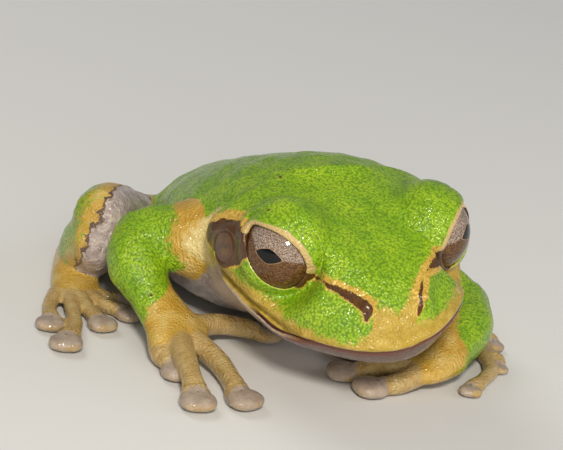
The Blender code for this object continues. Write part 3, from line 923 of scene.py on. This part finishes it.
field = {
    name: add(tree, "ShaderNodeAttribute", {"attribute_name": name}, out=2) for name in FIELDS
}
coarse = add(tree, NOISE, Vector=place, Scale=per_mm(2.6), Detail=3.0, Roughness=0.6)
middle = add(tree, NOISE, Vector=place, Scale=per_mm(1.0), Detail=3.0, Roughness=0.6)
tiny = add(tree, NOISE, Vector=place, Scale=per_mm(0.35), Detail=2.0, Roughness=0.6)
middle_c = add(tree, MATH, MINUS, i0=middle, i1=0.5)
tiny_c = add(tree, MATH, MINUS, i0=tiny, i1=0.5)
cells = add(
    tree, "ShaderNodeTexVoronoi", {"feature": "SMOOTH_F1"}, i0=place,
    Scale=per_mm(GRANULE), Smoothness=0.35,
)

# Ground tan of the limbs, ochre in patches
tan = add(tree, RAMP, i0=coarse, ramp=[(0.32, "#A88024"), (0.50, "#B7933C"), (0.68, "#C2A55E")])
# Lime green with painted shade: the furrows between the granules are darker than the yellower tops
green_top = add(tree, RAMP, i0=coarse, ramp=[(0.30, "#78A00A"), (0.50, "#8BAF10"), (0.72, "#A2BE1E")])
furrow_shade = add(tree, RANGE, i0=cells, i1=0.25, i2=0.75, i3=0.0, i4=0.7)
green_with_furrow_shade = add(tree, MIX, COLOURS, out=2, i0=furrow_shade, i6=green_top, i7=linear("#3E6403"))
grey_mix = add(tree, RAMP, i0=middle, ramp=[(0.3, "#84766E"), (0.5, "#A0918A"), (0.7, "#BAACA0")])
straw = add(tree, RAMP, i0=middle, ramp=[(0.3, "#B59A55"), (0.6, "#D3C084")])
pad_mix = add(tree, RAMP, i0=middle, ramp=[(0.3, "#8C7A6A"), (0.7, "#A99988")])
tan_face = add(tree, RAMP, i0=middle, ramp=[(0.28, "#9F8122"), (0.50, "#AC9034"), (0.72, "#BDA24C")])
gold = add(tree, RAMP, i0=tiny, ramp=[(0.35, "#A9822A"), (0.65, "#D0AE4E")])
chocolate = add(tree, RAMP, i0=middle, ramp=[(0.3, "#361D07"), (0.7, "#5A380F")])
pale = add(tree, RAMP, i0=middle, ramp=[(0.32, "#9A7E4C"), (0.68, "#B59E72")])
grit = add(tree, MATH, PLUS, i0=middle_c, i1=tiny_c)

# How much of a layer shows, where that isn't simply the inside of a border
digits = add(tree, MATH, TIMES, i0=field["digit"], i1=0.75)
near_green = add(tree, RANGE, i0=field["green"], i1=-1.6, i2=-0.4, i4=0.8)
spots = add(tree, RANGE, i0=middle, i1=0.585, i2=0.64)
spots = add(tree, MATH, TIMES, i0=spots, i1=near_green)
# Painted light on the throat, which lies in the shade of the head
throat = inside(tree, field["throat"], middle_c, 1.6, 0.7)
throat = add(tree, MATH, TIMES, i0=throat, i1=0.8)
grey_edge = add(tree, MATH, TIMES_PLUS, i0=middle_c, i1=0.9, i2=field["grey"])
grey_edge = add(tree, MATH, ABSOLUTE, i0=grey_edge)
grey_edge = add(tree, RANGE, i0=grey_edge, i1=0.10, i2=0.05)
grey_edge = add(tree, MATH, TIMES, i0=grey_edge, i1=field["knee"])
pad_crease = add(tree, RANGE, i0=field["pad_mark"], i1=-0.08, i2=0.10, i4=0.7)
below_eye = add(tree, RANGE, i0=field["eye_up"], i1=-0.2, i2=-0.9)
lower_lid = add(tree, RANGE, i0=field["eye_edge"], i1=0.16, i2=0.12)
lower_lid = add(tree, MATH, TIMES, i0=lower_lid, i1=below_eye)
lid_edge = add(tree, RANGE, i0=field["eye_edge"], i1=0.05, i2=0.02)
lines = []
for below, outer, inner, limit in ((0.02, 0.13, 0.07, "lip_line"), (0.55, 0.50, 0.40, "lip_wet")):
    line = add(tree, MATH, PLUS, i0=field["mouth"], i1=below)
    line = add(tree, MATH, ABSOLUTE, i0=line)
    line = add(tree, RANGE, i0=line, i1=outer, i2=inner)
    lines.append(add(tree, MATH, LESSER, i0=line, i1=field[limit]))
# Painted shade: the front of the lower jaw below the lip is darkened where the head shades it
chin_shade_end = add(tree, RANGE, i0=field["mouth"], i1=-3.4, i2=-1.8, i4=0.85)
painted_chin_shade = add(tree, RANGE, i0=field["mouth"], i1=-0.2, i2=-0.5)
painted_chin_shade = add(tree, MATH, TIMES, i0=painted_chin_shade, i1=chin_shade_end)
painted_chin_shade = add(tree, MATH, TIMES, i0=painted_chin_shade, i1=field["lip_line"])
flecks = add(tree, "ShaderNodeTexVoronoi", {"feature": "F1"}, i0=place, Scale=per_mm(4.6))
flecks = add(tree, MATH, TIMES_PLUS, i0=tiny_c, i1=0.10, i2=flecks)
flecks = add(tree, RANGE, i0=flecks, i1=0.050, i2=0.035)
off_tan = add(tree, RANGE, i0=field["tan_face"], i1=-1.0, i2=-1.8)
on_green = add(tree, RANGE, i0=field["green"], i1=0.6, i2=1.0)
on_green = add(tree, MATH, TIMES, i0=on_green, i1=off_tan)
flecks = add(tree, MATH, TIMES, i0=flecks, i1=on_green)

# The layers over the tan ground from the bottom up: how much of each, and its colour
layers = [
    (digits, pale),
    # The green carries painted shade in the furrows between its granules
    (inside(tree, field["green"], grit, 1.6, 0.34), green_with_furrow_shade),
    (spots, green_with_furrow_shade),
    (inside(tree, field["grey"], middle_c, 0.9, 0.12), grey_mix),
    # painted light: the shaded throat painted lighter
    (throat, linear("#C4AE98")),
    (grey_edge, linear("#5A4636")),
    (inside(tree, field["straw"], middle_c, 0.9, 0.2), straw),
    (inside(tree, field["pad"], middle_c, 0.5, 0.25), pad_mix),
    (pad_crease, linear("#4A3B2E")),
    (inside(tree, field["tan_face"], grit, 1.5, 0.30), tan_face),
    (inside(tree, field["fringe"], grit, 0.8, 0.14), gold),
    (inside(tree, field["lid_band"], middle_c, 0.25, 0.08), linear("#BFA56A")),
    (lower_lid, linear("#A9AE30")),
    (inside(tree, field["mask"], grit, 0.45, 0.05), chocolate),
    (lid_edge, linear("#2A140A")),
    (lines[0], linear("#35120B")),
    # painted shade under the chin
    (painted_chin_shade, linear("#5E483B")),
    (lines[1], linear("#653A2C")),
    (flecks, linear("#5B2A14")),
]
colour = tan
for amount, paint in layers:
    colour = add(tree, MIX, COLOURS, out=2, i0=amount, i6=colour, i7=paint)

# Granules, and fine cross wrinkles on the limbs
dome = add(tree, MATH, MINUS, i0=1.0, i1=cells)
waver = add(tree, MATH, TIMES, i0=middle, i1=19.0)
phase = add(tree, MATH, TIMES_PLUS, i0=field["along"], i1=math.tau / WRINKLE, i2=waver)
ripple = add(tree, MATH, {"operation": "SINE"}, i0=phase)
ripple_height = add(tree, MATH, TIMES, i0=field["limb"], i1=0.17)
ripple = add(tree, MATH, TIMES, i0=ripple, i1=ripple_height)
height = add(tree, MATH, PLUS, i0=dome, i1=ripple)
tiny_height = add(tree, MATH, TIMES, i0=tiny, i1=0.5)
height = add(tree, MATH, PLUS, i0=height, i1=tiny_height)
# The mask and the discs are smoother than the rest, and the skin at the eardrum smoothest
flat_parts = add(tree, MATH, GREATER, i0=field["mask"], i1=field["pad"])
flatness = add(tree, RANGE, i0=flat_parts, i1=-0.2, i2=0.4, i3=1.0, i4=0.22)
at_drum = add(tree, RANGE, i0=field["sleek"], i1=0.1, i2=0.9, i3=1.0, i4=0.15)
flatness = add(tree, MATH, TIMES, i0=flatness, i1=at_drum)
relief = add(tree, "ShaderNodeBump", i0=flatness, i1=RELIEF * MM, Height=height)
rough = add(tree, RANGE, i0=middle, i1=0.3, i2=0.7, i3=0.52, i4=0.34)
shader = add(
    tree, SURFACE, Base_Color=colour, Roughness=rough, IOR=1.37, Normal=relief,
    Subsurface_Weight=0.10, Subsurface_Radius=(1.0, 0.6, 0.25), Subsurface_Scale=0.5 * MM,
    Coat_Weight=0.8, Coat_Roughness=0.10, Coat_IOR=1.42, Coat_Normal=relief,
)
add(tree, OUTPUT, Surface=shader)
SKIN.data.materials.clear()
SKIN.data.materials.append(skin_material)
FLESH = [name for name in NODES if name not in EYES and name not in DRUMS]
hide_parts(*FLESH)
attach(SKIN, "root")

# %% [markdown]
# ## The eyes
#
# A tree frog's iris fills the whole opening. Its upper half is silvery and speckled, its lower
# half coppery brown with fine dark veins, and the pupil is a level black lozenge with a thin gold
# rim. The iris is matt; the clear, wet cornea over it is a coat with a very sharp reflection.

# %% Eyes
def eye_ball(name, side):
    centre = Vector(from_head(mirrored(EYE_CENTRE, side)[None, :])[0])
    back, up, out = (Vector(HEAD @ axis) for axis in eye_axes(side))
    bpy.ops.mesh.primitive_uv_sphere_add(segments=96, ring_count=64, radius=EYE_RADIUS)
    ball = bpy.context.object
    ball.name = name + "_ball"
    ball.data.name = ball.name
    axes = Matrix((back * side, up, out)).transposed().to_4x4()
    ball.matrix_world = Matrix.Translation(centre * MM) @ axes @ Matrix.Scale(MM, 4)
    rearward = ball.data.attributes.new("rearward", "FLOAT", "POINT")
    rearward.data.foreach_set("value", [float(side)] * len(ball.data.vertices))
    ball.data.shade_smooth()
    return ball


iris_material, tree = new_material("bronze iris under a wet cornea")
at = add(tree, "ShaderNodeTexCoord", out=3)
split = tree.nodes.new("ShaderNodeSeparateXYZ")
tree.links.new(at, split.inputs[0])
rearward = add(tree, "ShaderNodeAttribute", {"attribute_name": "rearward"}, out=2)
u = add(tree, MATH, TIMES, i0=split.outputs[0], i1=rearward)
v = split.outputs[1]
# A level lozenge with blunt tips: |u|^1.35 + |v|^1.35 = 1 in units of its half sizes, mm
PUPIL = (0.22, 0.38)
PUPIL_HALF = (1.50, 0.78)
du = add(tree, MATH, MINUS, i0=u, i1=PUPIL[0])
dv = add(tree, MATH, MINUS, i0=v, i1=PUPIL[1])
powers = []
for offset, half in ((du, PUPIL_HALF[0]), (dv, PUPIL_HALF[1])):
    size = add(tree, MATH, TIMES, i0=offset, i1=1 / half)
    size = add(tree, MATH, ABSOLUTE, i0=size)
    powers.append(add(tree, MATH, {"operation": "POWER"}, i0=size, i1=1.35))
lozenge = add(tree, MATH, PLUS, i0=powers[0], i1=powers[1])
speck = add(tree, NOISE, Vector=at, Scale=7.0, Detail=4.0, Roughness=0.8)
angle = add(tree, MATH, {"operation": "ARCTAN2"}, i0=dv, i1=du)
outward = add(tree, MATH, TIMES, i0=lozenge, i1=0.25)
fibre_at = add(tree, "ShaderNodeCombineXYZ", i0=angle, i1=outward)
fibre = add(tree, NOISE, Vector=fibre_at, Scale=9.0, Detail=4.0, Roughness=0.65)
silver = add(tree, RAMP, i0=speck, ramp=[(0.36, "#35271F"), (0.50, "#7D6A5C"), (0.64, "#C4B3A3")])
veins = add(tree, MIX, {"data_type": "FLOAT"}, i0=0.5, i2=speck, i3=fibre)
copper = add(tree, RAMP, i0=veins, ramp=[(0.38, "#1F0F05"), (0.50, "#54361A"), (0.64, "#8E6838")])
# The silver keeps above the pupil's line, which climbs behind the pupil
climb = add(tree, RANGE, i0=u, i1=1.6, i2=3.6, i3=0.0, i4=1.6)
above_line = add(tree, MATH, MINUS, i0=dv, i1=climb)
level = add(tree, MATH, TIMES_PLUS, i0=speck, i1=0.7, i2=above_line)
upper = add(tree, RANGE, i0=level, i1=0.25, i2=0.55)
iris = add(tree, MIX, COLOURS, out=2, i0=upper, i6=copper, i7=silver)
# The iris darkens towards the lids
u_squared = add(tree, MATH, TIMES, i0=u, i1=u)
v_squared = add(tree, MATH, TIMES, i0=v, i1=v)
from_axis = add(tree, MATH, PLUS, i0=u_squared, i1=v_squared)
from_axis = add(tree, MATH, {"operation": "SQRT"}, i0=from_axis)
dusk = add(tree, RANGE, i0=from_axis, i1=3.2, i2=4.1, i4=0.6)
iris = add(tree, MIX, COLOURS, out=2, i0=dusk, i6=iris, i7=linear("#140A06"))
gold_ring = add(tree, RANGE, i0=lozenge, i1=1.17, i2=1.10, i4=0.75)
iris = add(tree, MIX, COLOURS, out=2, i0=gold_ring, i6=iris, i7=linear("#B08F62"))
hole = add(tree, RANGE, i0=lozenge, i1=1.07, i2=1.02)
iris = add(tree, MIX, COLOURS, out=2, i0=hole, i6=iris, i7=linear("#020306"))
shader = add(
    tree, SURFACE, Base_Color=iris, Roughness=0.45, IOR=1.2,
    Coat_Weight=1.0, Coat_Roughness=0.02, Coat_IOR=1.38,
)
add(tree, OUTPUT, Surface=shader)

for name, side in (("eye_l", 1), ("eye_r", -1)):
    ball = eye_ball(name, side)
    ball.data.materials.append(iris_material)
    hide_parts(name)
    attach(ball, "root")

# %% [markdown]
# ## The eardrums
#
# Behind each eye a round, bare eardrum lies flush in the dark mask. It is a shallow dome with a
# faint rim. The bare wet membrane has no granules, so its shine is one broad spot.

# %% Eardrums
drum_material, tree = new_material("wet bare eardrum")
at = add(tree, "ShaderNodeTexCoord", out=3)
blotch = add(tree, NOISE, Vector=at, Scale=0.9, Detail=4.0, Roughness=0.6)
from_middle = add(tree, "ShaderNodeVectorMath", {"operation": "LENGTH"}, out=1, i0=at)
brown = add(tree, RAMP, i0=blotch, ramp=[(0.34, "#37240B"), (0.52, "#553712"), (0.70, "#70491C")])
rim = add(tree, RANGE, i0=from_middle, i1=0.9, i2=1.65)
brown = add(tree, MIX, COLOURS, out=2, i0=rim, i6=brown, i7=linear("#482A0B"))
shader = add(
    tree, SURFACE, Base_Color=brown, Roughness=0.34, IOR=1.37,
    Coat_Weight=0.8, Coat_Roughness=0.06,
)
add(tree, OUTPUT, Surface=shader)

# How far the drum stands off its seat, its dome, its rim, and how deep its edge dips, mm
DRUM_LIFT = 0.01
DRUM_DOME = 0.14
DRUM_RIM = 0.02
DRUM_EDGE = 0.22


def eardrum(name, side):
    middle, out = (Vector(v) for v in EAR_SEATS[side])
    rings, around = 14, 64
    turns = np.arange(around) * math.tau / around
    bm = bmesh.new()
    rows = []
    for k in range(1, rings + 1):
        t = k / rings
        radius = EAR_RADIUS * t
        raised = DRUM_RIM * math.exp(-(((t - 0.84) / 0.12) ** 2))
        bulge = DRUM_DOME * (1 - t**2) + raised - DRUM_EDGE * max(0.0, t - 0.88) / 0.12
        ring = [(radius * math.cos(a), radius * math.sin(a), bulge) for a in turns]
        rows.append([bm.verts.new(place) for place in ring])
    top = bm.verts.new((0, 0, DRUM_DOME))
    for j in range(around):
        i = (j + 1) % around
        bm.faces.new((top, rows[0][j], rows[0][i]))
        for k in range(rings - 1):
            bm.faces.new((rows[k][j], rows[k + 1][j], rows[k + 1][i], rows[k][i]))
    mesh = bpy.data.meshes.new(name + "_drum")
    bm.to_mesh(mesh)
    bm.free()
    drum = new_object(name + "_drum", mesh)
    mesh.shade_smooth()
    turn = out.to_track_quat("Z", "Y").to_matrix().to_4x4()
    drum.matrix_world = Matrix.Translation((middle + out * DRUM_LIFT) * MM) @ turn
    drum.scale = (MM, MM, MM)
    return drum


for name, side in (("tympanum_l", 1), ("tympanum_r", -1)):
    drum = eardrum(name, side)
    drum.data.materials.append(drum_material)
    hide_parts(name)
    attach(drum, "root")

# %% [markdown]
# ## Camera, floor and light
#
# The camera looks down a little from the frog's front right, turned a few degrees, so that the
# head fills the frame as in the portrait. Large soft lamps light the animal on a pale floor.

# %% Camera
# Angles in degrees and distance from the snout, mm; where the snout falls in the picture, pixels
AZIMUTH, ELEVATION, ROLL = -30.0, 19.0, 8.0
DISTANCE = 230.0
PIXELS_PER_MM = 9.67
SNOUT_PIXEL = (403.0, 355.0)
FRAME_SIZE = (563, 450)
SENSOR = 36
az, el, roll = (math.radians(v) for v in (AZIMUTH, ELEVATION, ROLL))
toward = Vector((math.sin(az) * math.cos(el), -math.cos(az) * math.cos(el), math.sin(el)))
right = Vector((math.cos(az), math.sin(az), 0))
above = toward.cross(right)
right, above = (
    right * math.cos(roll) + above * math.sin(roll),
    above * math.cos(roll) - right * math.sin(roll),
)
place = Vector(SNOUT) + toward * DISTANCE
place -= right * (SNOUT_PIXEL[0] - FRAME_SIZE[0] / 2) / PIXELS_PER_MM
place += above * (SNOUT_PIXEL[1] - FRAME_SIZE[1] / 2) / PIXELS_PER_MM
camera_data = bpy.data.cameras.new("camera")
camera_data.sensor_width = SENSOR
camera_data.lens = PIXELS_PER_MM * DISTANCE * SENSOR / FRAME_SIZE[0]
camera_data.clip_start = 0.01
camera = new_object("camera", camera_data)
turned = Matrix((right, above, toward)).transposed().to_4x4()
camera.matrix_world = Matrix.Translation(place * MM) @ turned
bpy.context.scene.camera = camera
print("camera", camera.location, "lens", round(camera_data.lens, 1))

# %% Floor and light
bpy.ops.mesh.primitive_plane_add(size=4, location=(0, 0, -0.0001))
floor = bpy.context.object
floor.name = "floor"
# Matt paper: it takes a soft shadow and mirrors nothing
floor_material, tree = new_material("pale matt paper")
paper = add(tree, SURFACE, Base_Color=linear("#D2D0CB"), Roughness=0.9)
add(tree, OUTPUT, Surface=paper)
floor.data.materials.append(floor_material)

world = bpy.data.worlds.new("studio air")
bpy.context.scene.world = world
world.use_nodes = True
background = world.node_tree.nodes["Background"]
background.inputs["Color"].default_value = linear("#DDE3EA")
background.inputs["Strength"].default_value = 0.26
bpy.context.scene.view_settings.view_transform = "Standard"


def softbox(name, size, place, power, colour):
    data = bpy.data.lights.new(name, "AREA")
    data.shape = "DISK"
    data.size = size
    data.energy = power
    data.color = linear(colour)[:3]
    lamp = new_object(name, data)
    lamp.location = place
    lamp.rotation_euler = (Vector((0, 0, 0.01)) - Vector(place)).to_track_quat("-Z", "Y").to_euler()
    return lamp


# Size and place in metres, power in watts
softbox("key light", 0.09, (-0.20, -0.42, 0.34), 2.8, "#FFF8EE")
softbox("front light", 0.30, (-0.22, -0.52, 0.10), 1.15, "#FFFDF8").visible_glossy = False
softbox("fill light", 0.45, (0.5, -0.3, 0.30), 1.0, "#EEF3FF").visible_glossy = False
softbox("rim light", 0.35, (-0.1, 0.45, 0.45), 1.35, "#FFFFFF").visible_glossy = False
